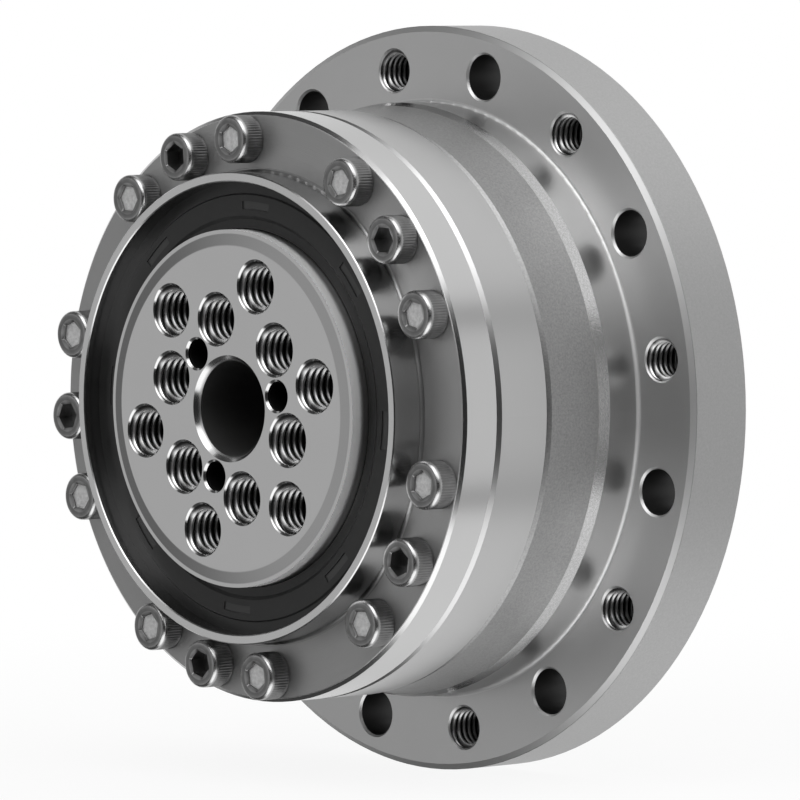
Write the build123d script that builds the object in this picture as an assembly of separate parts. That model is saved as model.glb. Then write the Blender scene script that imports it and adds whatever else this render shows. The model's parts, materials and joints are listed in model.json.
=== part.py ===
from build123d import *
import os
from math import cos, pi, radians, sin, sqrt, tan

# A cup-type strain wave gear unit with its output flange on a crossed roller bearing.
# Frame: the axis of rotation is Y and Z is up. The origin is the centre of the mounting flange's
# rear face. The output face looks along -Y, and the input side opens towards +Y.
# Lengths are millimetres. Angles are degrees from +X towards +Z, as seen from the output side.

# Teeth and wave
tooth_module = 0.5
flexspline_teeth = 100
tooth_difference = 2
tooth_addendum = 0.4
tooth_dedendum = 0.5
tooth_thickness = 0.74
tooth_flank_angle = 25.0

# Flexspline cup
rim_wall = 0.55
cup_wall = 0.5
diaphragm_wall = 0.55
cup_corner_radius = 2.2
boss_radius = 16.5
boss_bore_radius = 6.5
boss_thickness = 2.4
diaphragm_clearance = 0.5
rim_inset = 0.5
boss_fillet_width = 1.0

# Circular spline
spline_width = 11.0
spline_recess = 2.0
spline_counterbore_wall = 1.15
spline_rim_wall = 0.65
spline_end_chamfer = 0.3
spline_fit_gap = 0.02
spline_screw_length = 8.0
spline_pin_radius = 1.5
spline_pin_length = 10.0

# Housing and mounting flange
flange_thickness = 9.0
housing_body_length = 13.77
register_wall = 2.3
register_length = 4.7
register_bevel_length = 1.5
register_bevel_rise = 0.35
register_foot_fillet = 0.4
housing_front_step = 0.2
flare_middle_share = 0.25
housing_bore_margin = 1.6
flange_hole_margin = 4.2
flange_rim_margin = 5.0
flange_front_chamfer_width = 0.7
flange_front_chamfer_depth = 0.5
flange_rear_chamfer = 0.4
flange_hole_count = 8
flange_clocking = 8.83
through_hole_radius = 2.75
through_hole_chamfer = 0.25
flange_thread_radius = 2.5
flange_thread_chamfer = 0.25

# Crossed roller bearing
roller_circle_offset = 0.3
roller_diameter = 4.0
roller_length = 3.7
roller_pairs = 16
roller_end_fillet = 0.2
spacer_side = 3.2
spacer_thickness = 0.5
race_clearance = 0.05
race_land_gap = 0.4
race_relief_width = 0.8
race_relief_depth = 0.3
race_front_land = 1.77
race_rear_land = 1.43
front_ring_thickness = 5.52
rear_ring_thickness = 8.16
ring_wall = 1.59
ring_rim_margin = 0.46
seat_chamfer_width = 0.5
seat_chamfer_depth = 0.4
front_joint_chamfer = 0.44
rear_joint_chamfer = 0.53

# Oil seal and its collar
neck_step = 4.15
seal_section = 5.65
seal_width = 3.55
seal_recess = 2.15
seal_lip_clearance = 0.1
seal_band_width = 1.6
seal_band_step = 0.2
seal_cover = 0.75
seal_case_wall = 0.6
seal_lip_root = 1.6
dust_lip_inset = 0.25
garter_wire_radius = 0.4
seal_mark_count = 8
seal_mark_clocking = -4.0
seal_mark_span = 11.0
seal_mark_width = 0.95
seal_mark_depth = 0.15
collar_wall = 1.1
collar_chamfer = 0.12
collar_foot_fillet = 0.4

# Output flange
output_face_lead = 0.6
output_face_radius = 19.25
output_bevel_depth = 0.29
output_rim_width = 0.45
output_bore_radius = 5.7
output_bore_chamfer = 0.63
output_clocking = 12.2
output_hole_count = 6
output_thread_radius = 3.0
output_thread_depth = 8.6
output_thread_chamfer = 0.25
outer_hole_circle = 15.25
inner_hole_circle = 10.75
dowel_hole_count = 3
dowel_hole_circle = 8.5
dowel_hole_radius = 1.75
dowel_hole_depth = 6.0
dowel_hole_chamfer = 0.25
bore_cap_thickness = 2.2
bore_cap_wall = 0.7
bore_cap_inset = 0.8
bore_cap_seat = 0.5

# Boss clamping
clamp_ring_thickness = 1.6
clamp_ring_bore_radius = 9.8
clamp_ring_inset = 0.2
clamp_ring_chamfer = 0.3
boss_screw_count = 12
boss_screw_circle = 13.0
boss_screw_length = 8.0
boss_run_out = 0.6
boss_pin_count = 2
boss_pin_circle = 8.35
boss_pin_radius = 1.25
boss_pin_length = 4.8

# Screws of 3 mm thread, in the proportions of the standard socket head screw
screw_radius = 1.5
screw_head_radius = 2.75
screw_head_height = 3.0
screw_head_chamfer = 0.3
screw_tip_chamfer = 0.3
screw_socket_width = 2.5
screw_socket_depth = 1.6
screw_hole_clearance = 0.2
screw_thread_clearance = 0.02
counterbore_clearance = 0.1
tapping_run_out = 1.2
clamp_group_count = 5
clamp_group_pitch = 18.0
clamp_clocking = 40.1
ring_screw_length = 10.0
housing_screw_length = 20.0
open_socket_depth = 2.0
filled_socket_depth = 0.45

# O-rings
oring_radius = 0.5
oring_groove_width = 1.4
housing_oring_wall = 0.7
flange_oring_wall = 1.25

# Wave generator bearing
ball_diameter = 3.5
ball_count = 23
ball_clearance = 0.01
race_conformity = 1.05
bearing_width = 7.0
outer_race_wall = 0.95
inner_race_wall = 0.9
race_shoulder = 0.6
wave_fit_gap = 0.02
cage_wall = 1.4
cage_pocket_clearance = 0.1
cage_front_reach = 1.2
cage_rear_reach = 2.9

# Plug, Oldham coupling and input hub
plug_bore_radius = 8.6
plug_recess_radius = 13.2
plug_recess_depth = 2.5
hub_clearance = 0.2
hub_head_step = 0.8
hub_bore_radius = 4.5
hub_chamfer = 0.4
hub_rear_inset = 0.5
hub_front_reach = 2.25
keyway_width = 3.0
keyway_depth = 1.4
lug_width = 4.0
lug_reach = 2.8
coupling_gap = 0.1
insert_inner_gap = 0.2
washer_thickness = 0.6
washer_radius = 11.5
snap_ring_thickness = 0.8
snap_ring_depth = 0.7
snap_ring_height = 1.2
snap_ring_opening = 50.0
set_screw_radius = 1.5
set_screw_length = 4.2
set_screw_socket = 1.5
set_screw_socket_depth = 1.5
set_screw_inset = 1.8
set_screw_angles = (90.0, 180.0)

# Shared working values
cutter_overrun = 0.5
drill_point_slope = tan(radians(31.0))
seat_gap = 0.05

# Radii worked out from the teeth outwards
spline_teeth = flexspline_teeth + tooth_difference
flexspline_pitch_radius = tooth_module * flexspline_teeth / 2
spline_pitch_radius = tooth_module * spline_teeth / 2
wave_height = spline_pitch_radius - flexspline_pitch_radius
flexspline_tip_radius = flexspline_pitch_radius + tooth_addendum
flexspline_root_radius = flexspline_pitch_radius - tooth_dedendum
rim_bore_radius = flexspline_root_radius - rim_wall
spline_tip_radius = spline_pitch_radius - tooth_addendum
spline_root_radius = spline_pitch_radius + tooth_dedendum
counterbore_radius = screw_head_radius + counterbore_clearance
spline_screw_circle = spline_root_radius + spline_counterbore_wall + counterbore_radius
spline_radius = spline_screw_circle + counterbore_radius + spline_rim_wall
register_radius = spline_radius + register_wall
flange_hole_circle = register_radius + flange_hole_margin
flange_radius = flange_hole_circle + flange_rim_margin
housing_bore_radius = spline_root_radius + housing_bore_margin

# Radii of the crossed roller bearing, the screw circle and the seal
roller_circle = flexspline_pitch_radius + roller_circle_offset
race_reach = sqrt(2) * (roller_diameter / 2 + race_clearance)
outer_relief_radius = roller_circle + race_reach + race_relief_depth
race_land_half_width = race_reach - race_land_gap
screw_hole_radius = screw_radius + screw_hole_clearance
clamp_screw_circle = outer_relief_radius + ring_wall + screw_hole_radius
body_radius = clamp_screw_circle + screw_head_radius + ring_rim_margin
neck_radius = roller_circle - neck_step
seal_radius = neck_radius + seal_section
collar_radius = seal_radius + collar_wall
output_rim_radius = neck_radius - output_rim_width
cap_radius = output_bore_radius + bore_cap_seat

# Places along the axis, from the flange's rear face forwards
flange_rear_y = 0.0
flange_front_y = flange_rear_y - flange_thickness
housing_front_y = flange_front_y - housing_body_length
register_front_y = flange_front_y - register_length
race_y = housing_front_y - rear_ring_thickness
seat_y = race_y - front_ring_thickness
seal_rear_y = race_y - race_land_half_width - race_front_land
seal_front_y = seal_rear_y - seal_width
collar_front_y = seal_front_y - seal_recess
output_face_y = collar_front_y - output_face_lead
output_rear_y = race_y + race_land_half_width + race_rear_land
cap_seat_y = output_rear_y - bore_cap_inset - bore_cap_thickness
boss_rear_y = output_rear_y + boss_thickness
clamp_ring_rear_y = boss_rear_y + clamp_ring_thickness
spline_rear_y = flange_rear_y - spline_recess
spline_front_y = spline_rear_y - spline_width
wave_y = (spline_front_y + spline_rear_y) / 2

# Wave generator radii, from the flexspline's rim inwards
outer_race_radius = rim_bore_radius - wave_fit_gap
outer_groove_radius = outer_race_radius - outer_race_wall
outer_race_bore = outer_groove_radius - race_shoulder
ball_circle = outer_groove_radius - ball_diameter / 2 - ball_clearance
inner_groove_radius = ball_circle - ball_diameter / 2 - ball_clearance
inner_race_radius = inner_groove_radius + race_shoulder
inner_race_bore = inner_groove_radius - inner_race_wall
groove_section_radius = ball_diameter / 2 * race_conformity
bearing_front_y = wave_y - bearing_width / 2
bearing_rear_y = wave_y + bearing_width / 2
hub_rear_y = flange_rear_y - hub_rear_inset
hub_front_y = bearing_front_y - hub_front_reach
plug_floor_y = bearing_rear_y - plug_recess_depth
hub_radius = plug_bore_radius - hub_clearance
hub_head_radius = hub_radius + hub_head_step

# Angles of the repeated features
clamp_angles = [clamp_clocking + 360 / clamp_group_count * k for k in range(clamp_group_count)]
side_angles = [a + side * clamp_group_pitch for a in clamp_angles for side in (-1, 1)]
spline_screw_count = 2 * clamp_group_count
spline_screw_angles = [clamp_clocking + clamp_group_pitch / 2 + 360 / spline_screw_count * k
                       for k in range(spline_screw_count)]
spline_pin_angles = [spline_screw_angles[0] + clamp_group_pitch + 180 * k for k in range(2)]


def turned(*corners):
    """Solid turned about the Y axis from corners of radius and y: equal neighbours count once."""
    distinct = [corner for k, corner in enumerate(corners) if corner != corners[k - 1]]
    return revolve(make_face(Polyline(*distinct, close=True)), Axis.Y)


def turned_outline(*curves):
    """Solid turned about the Y axis from a closed outline of lines and arcs."""
    edges = [edge for curve in curves for edge in curve.edges()]
    return revolve(make_face(edges), Axis.Y)


def around(piece, radius, angles):
    """Copies of a piece that stands on the Y axis, one on the circle at each angle."""
    return [Rot(0, -angle, 0) * Pos(radius, 0, 0) * piece for angle in angles]


def evenly(count, start=0.0):
    """Angles of a full circle of features."""
    return [start + 360 / count * k for k in range(count)]


def drilled(radius, mouth_y, depth, chamfer, towards=1):
    """Cutter for a blind hole with a chamfered mouth and a drill point."""
    wide = radius + chamfer
    outside_y = mouth_y - towards * cutter_overrun
    floor_y = mouth_y + towards * depth
    return turned((0, outside_y), (wide, outside_y), (wide, mouth_y),
                  (radius, mouth_y + towards * chamfer), (radius, floor_y),
                  (0, floor_y + towards * radius * drill_point_slope))


def bored(radius, first_y, last_y, chamfer):
    """Cutter for a through hole that is chamfered at both mouths."""
    wide = radius + chamfer
    return turned((0, first_y - cutter_overrun), (wide, first_y - cutter_overrun), (wide, first_y),
                  (radius, first_y + chamfer), (radius, last_y - chamfer), (wide, last_y),
                  (wide, last_y + cutter_overrun), (0, last_y + cutter_overrun))


def plain_bore(radius, first_y, last_y):
    """Cutter for a straight hole from one y to another, with no overrun."""
    return turned((0, first_y), (radius, first_y), (radius, last_y), (0, last_y))


def face_at(y, sketch):
    """A sketch seen from the output side, laid across the axis at y."""
    return Pos(0, y, 0) * (Plane.XZ * sketch)


def prism(sketch, first_y, last_y):
    """A sketch pushed along the axis from one y to another."""
    return extrude(face_at(first_y, sketch), last_y - first_y, dir=(0, 1, 0))


def wave_oval(radius):
    """The shape that a circle takes on the wave generator, longest along X."""
    return Ellipse(radius + wave_height, radius - wave_height)


def oval_tube(outer_radius, inner_radius, first_y, last_y):
    """Ring whose two walls both follow the wave."""
    bore = prism(wave_oval(inner_radius), first_y, last_y)
    return prism(wave_oval(outer_radius), first_y, last_y) - bore


def wave_place(radius, angle):
    """Radius and angle that a point of the unbent circle takes on the wave."""
    double = 2 * radians(angle)
    shifted = angle - (wave_height / 2 * sin(double) / radius) * 180 / pi
    return radius + wave_height * cos(double), shifted


def ring_of_section(circle_radius, y, section_radius):
    """Round ring of round section, as an O-ring is."""
    return revolve(Pos(circle_radius, y) * Circle(section_radius), Axis.Y)


def socket_screw(length, socket_depth):
    """Socket head screw with its seat at y 0, its head towards -Y and its thread towards +Y."""
    shank_radius = screw_radius - screw_thread_clearance
    blank = turned((0, -screw_head_height), (screw_head_radius - screw_head_chamfer, -screw_head_height),
                   (screw_head_radius, screw_head_chamfer - screw_head_height), (screw_head_radius, 0),
                   (shank_radius, 0), (shank_radius, length - screw_tip_chamfer),
                   (shank_radius - screw_tip_chamfer, length), (0, length))
    hexagon = RegularPolygon(screw_socket_width / 2, 6, major_radius=False)
    return blank - prism(hexagon, -screw_head_height - cutter_overrun, socket_depth - screw_head_height)


def roller_track(side):
    """Corners of the V groove of one race: side 1 is the outer rings, side -1 the inner ring."""
    relief_half = race_relief_width / 2
    flank_radius = roller_circle + side * (race_reach - relief_half)
    relief_radius = roller_circle + side * (race_reach + race_relief_depth)
    land_radius = roller_circle + side * race_land_gap
    return land_radius, flank_radius, relief_radius, relief_half


def bearing_outer_ring_front():
    land, flank, relief, relief_half = roller_track(1)
    foot_y = seat_y - collar_foot_fillet
    ring = turned_outline(
        Polyline((land, seal_rear_y), (seal_radius, seal_rear_y),
                 (seal_radius, collar_front_y + collar_chamfer),
                 (seal_radius + collar_chamfer, collar_front_y),
                 (collar_radius - collar_chamfer, collar_front_y),
                 (collar_radius, collar_front_y + collar_chamfer), (collar_radius, foot_y)),
        CenterArc((collar_radius + collar_foot_fillet, foot_y), collar_foot_fillet, 180, -90),
        Polyline((collar_radius + collar_foot_fillet, seat_y),
                 (body_radius - seat_chamfer_width, seat_y), (body_radius, seat_y + seat_chamfer_depth),
                 (body_radius, race_y - front_joint_chamfer),
                 (body_radius - front_joint_chamfer, race_y), (relief, race_y),
                 (relief, race_y - relief_half), (flank, race_y - relief_half),
                 (land, race_y - race_land_half_width), (land, seal_rear_y)))
    hole = bored(screw_hole_radius, seat_y, race_y, 0.0)
    return ring - around(hole, clamp_screw_circle, clamp_angles + side_angles)


def bearing_outer_ring_rear():
    land, flank, relief, relief_half = roller_track(1)
    ring = turned((land, race_y + race_land_half_width), (flank, race_y + relief_half),
                  (relief, race_y + relief_half), (relief, race_y),
                  (body_radius - front_joint_chamfer, race_y),
                  (body_radius, race_y + front_joint_chamfer),
                  (body_radius, housing_front_y - rear_joint_chamfer),
                  (body_radius - rear_joint_chamfer, housing_front_y), (land, housing_front_y))
    hole = bored(screw_hole_radius, race_y, housing_front_y, 0.0)
    tapped_depth = ring_screw_length - front_ring_thickness + tapping_run_out
    tapped = drilled(screw_radius, race_y, tapped_depth, 0.0)
    ring -= around(hole, clamp_screw_circle, side_angles)
    return ring - around(tapped, clamp_screw_circle, clamp_angles)


def housing():
    front_radius = body_radius - housing_front_step
    flare_radius = register_radius - register_bevel_rise
    flare_end_y = register_front_y - register_bevel_length
    flare_start_y = housing_front_y + rear_joint_chamfer
    flare_rise = (flare_radius - front_radius) * flare_middle_share
    flare_middle = (front_radius + flare_rise, (flare_start_y + flare_end_y) / 2)
    foot_y = flange_front_y - register_foot_fillet
    mouth_radius = spline_radius + spline_end_chamfer
    shell = turned_outline(
        Polyline((housing_bore_radius, spline_front_y), (housing_bore_radius, housing_front_y),
                 (front_radius - rear_joint_chamfer, housing_front_y), (front_radius, flare_start_y)),
        ThreePointArc((front_radius, flare_start_y), flare_middle, (flare_radius, flare_end_y)),
        Polyline((flare_radius, flare_end_y), (register_radius, register_front_y),
                 (register_radius, foot_y)),
        CenterArc((register_radius + register_foot_fillet, foot_y), register_foot_fillet, 180, -90),
        Polyline((register_radius + register_foot_fillet, flange_front_y),
                 (flange_radius - flange_front_chamfer_width, flange_front_y),
                 (flange_radius, flange_front_y + flange_front_chamfer_depth),
                 (flange_radius, flange_rear_y - flange_rear_chamfer),
                 (flange_radius - flange_rear_chamfer, flange_rear_y), (mouth_radius, flange_rear_y),
                 (spline_radius, flange_rear_y - spline_end_chamfer), (spline_radius, spline_front_y),
                 (housing_bore_radius, spline_front_y)))
    tapped = bored(flange_thread_radius, flange_front_y, flange_rear_y, flange_thread_chamfer)
    through = bored(through_hole_radius, flange_front_y, flange_rear_y, through_hole_chamfer)
    tapped_angles = evenly(flange_hole_count, flange_clocking)
    through_angles = evenly(flange_hole_count, flange_clocking + 180 / flange_hole_count)
    clamp_depth = housing_screw_length - front_ring_thickness - rear_ring_thickness + tapping_run_out
    clamp_tapped = drilled(screw_radius, housing_front_y, clamp_depth, 0.0)
    spline_depth = spline_screw_reach() + tapping_run_out
    spline_tapped = drilled(screw_radius, spline_front_y, spline_depth, 0.0, -1)
    pin_depth = spline_pin_length / 2
    pin_hole = plain_bore(spline_pin_radius, spline_front_y - pin_depth, spline_front_y)
    shell -= around(tapped, flange_hole_circle, tapped_angles)
    shell -= around(through, flange_hole_circle, through_angles)
    shell -= around(clamp_tapped, clamp_screw_circle, side_angles)
    shell -= around(spline_tapped, spline_screw_circle, spline_screw_angles)
    shell -= around(pin_hole, spline_screw_circle, spline_pin_angles)
    return shell - housing_groove() - flange_groove()


def spline_screw_reach():
    """How far a circular spline screw enters the housing."""
    return spline_screw_length - (spline_width - screw_head_height - counterbore_clearance)


def housing_oring_circle():
    return housing_bore_radius + housing_oring_wall + oring_groove_width / 2


def flange_oring_circle():
    return spline_radius + flange_oring_wall + oring_groove_width / 2


def groove(circle_radius, first_y, last_y):
    """Square O-ring groove between two places on the axis."""
    inner = circle_radius - oring_groove_width / 2
    outer = circle_radius + oring_groove_width / 2
    return turned((inner, first_y), (outer, first_y), (outer, last_y), (inner, last_y))


def housing_groove():
    return groove(housing_oring_circle(), housing_front_y, housing_front_y + 2 * oring_radius + seat_gap)


def flange_groove():
    return groove(flange_oring_circle(), flange_rear_y - 2 * oring_radius - 2 * seat_gap, flange_rear_y)


def housing_oring():
    middle_y = housing_front_y + oring_radius + seat_gap / 2
    return ring_of_section(housing_oring_circle(), middle_y, oring_radius)


def flange_oring():
    return ring_of_section(flange_oring_circle(), flange_rear_y - oring_radius - seat_gap, oring_radius)


def ring_screws():
    screw = Pos(0, seat_y, 0) * socket_screw(ring_screw_length, open_socket_depth)
    return around(screw, clamp_screw_circle, clamp_angles)


def housing_screws():
    """Screws whose sockets are filled with pale sealing compound to near the top."""
    screw = Pos(0, seat_y, 0) * socket_screw(housing_screw_length, filled_socket_depth)
    return around(screw, clamp_screw_circle, side_angles)


def seal_garter_place():
    """Radius and y of the garter spring's wire circle, behind the main lip."""
    circle_radius = neck_radius + seal_lip_root - garter_wire_radius / 2
    return circle_radius, seal_rear_y - 2 * garter_wire_radius - seat_gap


def output_oil_seal():
    lip_radius = neck_radius + seal_lip_clearance
    root_radius = neck_radius + seal_lip_root
    band_radius = seal_radius - seal_band_width
    cover_rear_y = seal_front_y + seal_cover
    lip_root_outer = root_radius + seal_case_wall
    spring_radius, spring_y = seal_garter_place()
    dust_tip_y = seal_front_y + dust_lip_inset
    face_y = seal_front_y + seal_band_step
    lip_end_y = seal_rear_y - seat_gap
    rubber = turned((seal_radius, face_y), (seal_radius, cover_rear_y), (lip_root_outer, cover_rear_y),
                    (spring_radius + garter_wire_radius, spring_y), (spring_radius, lip_end_y),
                    (lip_radius + garter_wire_radius, lip_end_y), (lip_radius, spring_y),
                    (root_radius - garter_wire_radius, cover_rear_y), (lip_radius, dust_tip_y),
                    (lip_radius, seal_front_y + seat_gap), (root_radius - garter_wire_radius, face_y),
                    (root_radius, seal_front_y), (band_radius, seal_front_y),
                    (band_radius + seal_band_step, face_y))
    rubber -= ring_of_section(spring_radius, spring_y, garter_wire_radius + seat_gap)
    mark_radius = (root_radius + band_radius) / 2
    mark_section = Pos(mark_radius, seal_front_y) * Rectangle(seal_mark_width, 2 * seal_mark_depth)
    mark = Rot(0, -seal_mark_span / 2, 0) * revolve(mark_section, Axis.Y, seal_mark_span)
    return rubber - [Rot(0, -angle, 0) * mark for angle in evenly(seal_mark_count, seal_mark_clocking)]


def seal_case():
    """Steel case of the oil seal: a sleeve in the ring's bore and a disc behind the rubber cover."""
    front_y = seal_front_y + seal_cover
    disc_y = front_y + seal_case_wall
    sleeve_bore = seal_radius - seal_case_wall
    disc_bore = neck_radius + seal_lip_root + seal_case_wall + seat_gap
    return turned((seal_radius, front_y), (seal_radius, seal_rear_y), (sleeve_bore, seal_rear_y),
                  (sleeve_bore, disc_y), (disc_bore, disc_y), (disc_bore, front_y))


def seal_garter_spring():
    spring_radius, spring_y = seal_garter_place()
    return ring_of_section(spring_radius, spring_y, garter_wire_radius)


def tooth_ring(corners, first_y, last_y):
    """Solid bounded by a toothed outline, given as points across the axis."""
    outline = Polyline(*[(x, first_y, z) for x, z in corners], close=True)
    return extrude(make_face(outline), last_y - first_y, dir=(0, 1, 0))


def spline_outline():
    """Internal teeth: a space stands on the X axis, where the wave is highest."""
    slope = tan(radians(tooth_flank_angle))
    half_tip = (tooth_thickness / 2 - tooth_addendum * slope) / spline_tip_radius
    half_root = (tooth_thickness / 2 + tooth_dedendum * slope) / spline_root_radius
    corners = []
    for k in range(spline_teeth):
        middle = 2 * pi * (k + 0.5) / spline_teeth
        for radius, offset in ((spline_root_radius, -half_root), (spline_tip_radius, -half_tip),
                               (spline_tip_radius, half_tip), (spline_root_radius, half_root)):
            corners.append((radius * cos(middle + offset), radius * sin(middle + offset)))
    return corners


def flexspline_outline():
    """External teeth on the bent rim: each stands square to the oval, and one is on the X axis.

    A point at an angle t of the rim moves out by wave_height * cos(2t) and along it by half of
    wave_height * sin(2t), and the rim's normal there leans by the sum of both slopes.
    """
    slope = tan(radians(tooth_flank_angle))
    half_tip = tooth_thickness / 2 - tooth_addendum * slope
    half_root = tooth_thickness / 2 + tooth_dedendum * slope
    neutral_radius = flexspline_root_radius - rim_wall / 2
    corners = []
    for k in range(flexspline_teeth):
        angle = 360 * k / flexspline_teeth
        radius, shifted = wave_place(neutral_radius, angle)
        place = radians(shifted)
        bend = (2 - 0.5) * wave_height * sin(2 * radians(angle)) / neutral_radius
        lean = radians(angle) + bend
        for height, offset in ((flexspline_root_radius, -half_root), (flexspline_tip_radius, -half_tip),
                               (flexspline_tip_radius, half_tip), (flexspline_root_radius, half_root)):
            out = height - neutral_radius
            corners.append((radius * cos(place) + out * cos(lean) - offset * sin(lean),
                            radius * sin(place) + out * sin(lean) + offset * cos(lean)))
    return corners


def circular_spline():
    blank_bore = spline_tip_radius - cutter_overrun
    end_radius = spline_radius - spline_end_chamfer
    seat_radius = spline_radius - spline_fit_gap
    ring = turned((blank_bore, spline_front_y), (end_radius, spline_front_y),
                  (seat_radius, spline_front_y + spline_end_chamfer),
                  (seat_radius, spline_rear_y - spline_end_chamfer), (end_radius, spline_rear_y),
                  (blank_bore, spline_rear_y))
    ring -= tooth_ring(spline_outline(), spline_front_y, spline_rear_y)
    head_floor_y = spline_rear_y - screw_head_height - counterbore_clearance
    screw_hole = plain_bore(screw_hole_radius, spline_front_y, head_floor_y)
    counterbore = plain_bore(counterbore_radius, head_floor_y, spline_rear_y)
    pin_hole = plain_bore(spline_pin_radius, spline_front_y, spline_rear_y)
    ring -= around(screw_hole + counterbore, spline_screw_circle, spline_screw_angles)
    return ring - around(pin_hole, spline_screw_circle, spline_pin_angles)


def circular_spline_screws():
    head_floor_y = spline_rear_y - screw_head_height - counterbore_clearance
    screw = Rot(180, 0, 0) * socket_screw(spline_screw_length, screw_socket_depth)
    return around(Pos(0, head_floor_y, 0) * screw, spline_screw_circle, spline_screw_angles)


def circular_spline_pins():
    radius = spline_pin_radius - screw_thread_clearance
    end_radius = radius - screw_tip_chamfer
    front_y = spline_front_y - spline_pin_length / 2 + seat_gap
    rear_y = spline_front_y + spline_pin_length / 2
    pin = turned((0, front_y), (end_radius, front_y), (radius, front_y + screw_tip_chamfer),
                 (radius, rear_y - screw_tip_chamfer), (end_radius, rear_y), (0, rear_y))
    return around(pin, spline_screw_circle, spline_pin_angles)


def output_flange():
    land, flank, relief, relief_half = roller_track(-1)
    rim_y = output_face_y + output_bevel_depth
    bore_mouth = output_bore_radius + output_bore_chamfer
    disc = turned((output_bore_radius, output_face_y + output_bore_chamfer), (bore_mouth, output_face_y),
                  (output_face_radius, output_face_y), (output_rim_radius, rim_y), (neck_radius, rim_y),
                  (neck_radius, seal_rear_y), (land, seal_rear_y), (land, race_y - race_land_half_width),
                  (flank, race_y - relief_half), (relief, race_y - relief_half),
                  (relief, race_y + relief_half), (flank, race_y + relief_half),
                  (land, race_y + race_land_half_width), (land, output_rear_y),
                  (cap_radius, output_rear_y), (cap_radius, cap_seat_y),
                  (output_bore_radius, cap_seat_y))
    tapped = drilled(output_thread_radius, output_face_y, output_thread_depth, output_thread_chamfer)
    dowel = drilled(dowel_hole_radius, output_face_y, dowel_hole_depth, dowel_hole_chamfer)
    boss_depth = boss_screw_length - boss_thickness - clamp_ring_thickness + boss_run_out
    boss_tapped = drilled(screw_radius, output_rear_y, boss_depth, 0.0, -1)
    boss_pin = plain_bore(boss_pin_radius, output_rear_y - boss_pin_length / 2, output_rear_y)
    inner_clocking = output_clocking + 180 / output_hole_count
    disc -= around(tapped, outer_hole_circle, evenly(output_hole_count, output_clocking))
    disc -= around(tapped, inner_hole_circle, evenly(output_hole_count, inner_clocking))
    disc -= around(dowel, dowel_hole_circle, evenly(dowel_hole_count, output_clocking))
    disc -= around(boss_tapped, boss_screw_circle, boss_screw_angles())
    return disc - around(boss_pin, boss_pin_circle, boss_pin_angles())


def boss_screw_angles():
    return evenly(boss_screw_count, output_clocking + 180 / boss_screw_count)


def boss_pin_angles():
    return evenly(boss_pin_count, output_clocking + 90)


def bore_seal_cap():
    """Pressed cap that closes the output bore: a disc with a rim that looks outwards."""
    rear_y = cap_seat_y + bore_cap_thickness
    inside = cap_radius - bore_cap_wall
    floor_y = rear_y - bore_cap_wall
    return turned((0, rear_y), (cap_radius, rear_y), (cap_radius, cap_seat_y), (inside, cap_seat_y),
                  (inside, floor_y), (0, floor_y))


def flexspline_front():
    """Boss, diaphragm and the corner that turns into the cup's wall."""
    diaphragm_y = output_rear_y + diaphragm_clearance
    inner_y = diaphragm_y + diaphragm_wall
    wall_radius = flexspline_root_radius - (rim_wall - cup_wall)
    corner_radius = wall_radius - cup_corner_radius
    wall_y = diaphragm_y + cup_corner_radius
    inner_corner = cup_corner_radius - cup_wall
    return turned_outline(
        Polyline((boss_bore_radius, boss_rear_y), (boss_bore_radius, output_rear_y),
                 (boss_radius, output_rear_y), (boss_radius, diaphragm_y), (corner_radius, diaphragm_y)),
        CenterArc((corner_radius, wall_y), cup_corner_radius, -90, 90),
        Polyline((wall_radius, wall_y), (wall_radius - cup_wall, wall_y)),
        CenterArc((corner_radius, wall_y), inner_corner, 0, -90),
        Polyline((corner_radius, wall_y - inner_corner), (corner_radius, inner_y),
                 (boss_radius + boss_fillet_width, inner_y), (boss_radius, boss_rear_y),
                 (boss_bore_radius, boss_rear_y)))


def round_to_oval(round_radius, round_y, oval_radius, oval_y):
    """Solid that starts as a circle and ends as the wave's oval."""
    sections = [face_at(round_y, Circle(round_radius)), face_at(oval_y, wave_oval(oval_radius))]
    return loft(sections, ruled=True)


def flexspline():
    wall_y = output_rear_y + diaphragm_clearance + cup_corner_radius
    wall_radius = flexspline_root_radius - (rim_wall - cup_wall)
    rim_front_y = spline_front_y - spline_end_chamfer
    rim_rear_y = spline_rear_y - rim_inset
    wall = round_to_oval(wall_radius, wall_y, flexspline_root_radius, rim_front_y)
    wall -= round_to_oval(wall_radius - cup_wall, wall_y, rim_bore_radius, rim_front_y)
    rim = tooth_ring(flexspline_outline(), rim_front_y, rim_rear_y)
    rim -= prism(wave_oval(rim_bore_radius), rim_front_y, rim_rear_y)
    hole = plain_bore(screw_hole_radius, output_rear_y, boss_rear_y)
    pin_hole = plain_bore(boss_pin_radius, output_rear_y, boss_rear_y)
    front = flexspline_front() - around(hole, boss_screw_circle, boss_screw_angles())
    front -= around(pin_hole, boss_pin_circle, boss_pin_angles())
    return front + wall + rim


def boss_clamp_ring():
    outer = boss_radius - clamp_ring_inset
    ring = turned((clamp_ring_bore_radius, boss_rear_y), (outer, boss_rear_y),
                  (outer, clamp_ring_rear_y - clamp_ring_chamfer),
                  (outer - clamp_ring_chamfer, clamp_ring_rear_y),
                  (clamp_ring_bore_radius, clamp_ring_rear_y))
    hole = plain_bore(screw_hole_radius, boss_rear_y, clamp_ring_rear_y)
    return ring - around(hole, boss_screw_circle, boss_screw_angles())


def boss_screws():
    screw = Rot(180, 0, 0) * socket_screw(boss_screw_length, screw_socket_depth)
    return around(Pos(0, clamp_ring_rear_y, 0) * screw, boss_screw_circle, boss_screw_angles())


def boss_dowel_pins():
    radius = boss_pin_radius - screw_thread_clearance
    half = boss_pin_length / 2 - seat_gap
    pin = plain_bore(radius, output_rear_y - half, output_rear_y + half)
    return around(pin, boss_pin_circle, boss_pin_angles())


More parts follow.
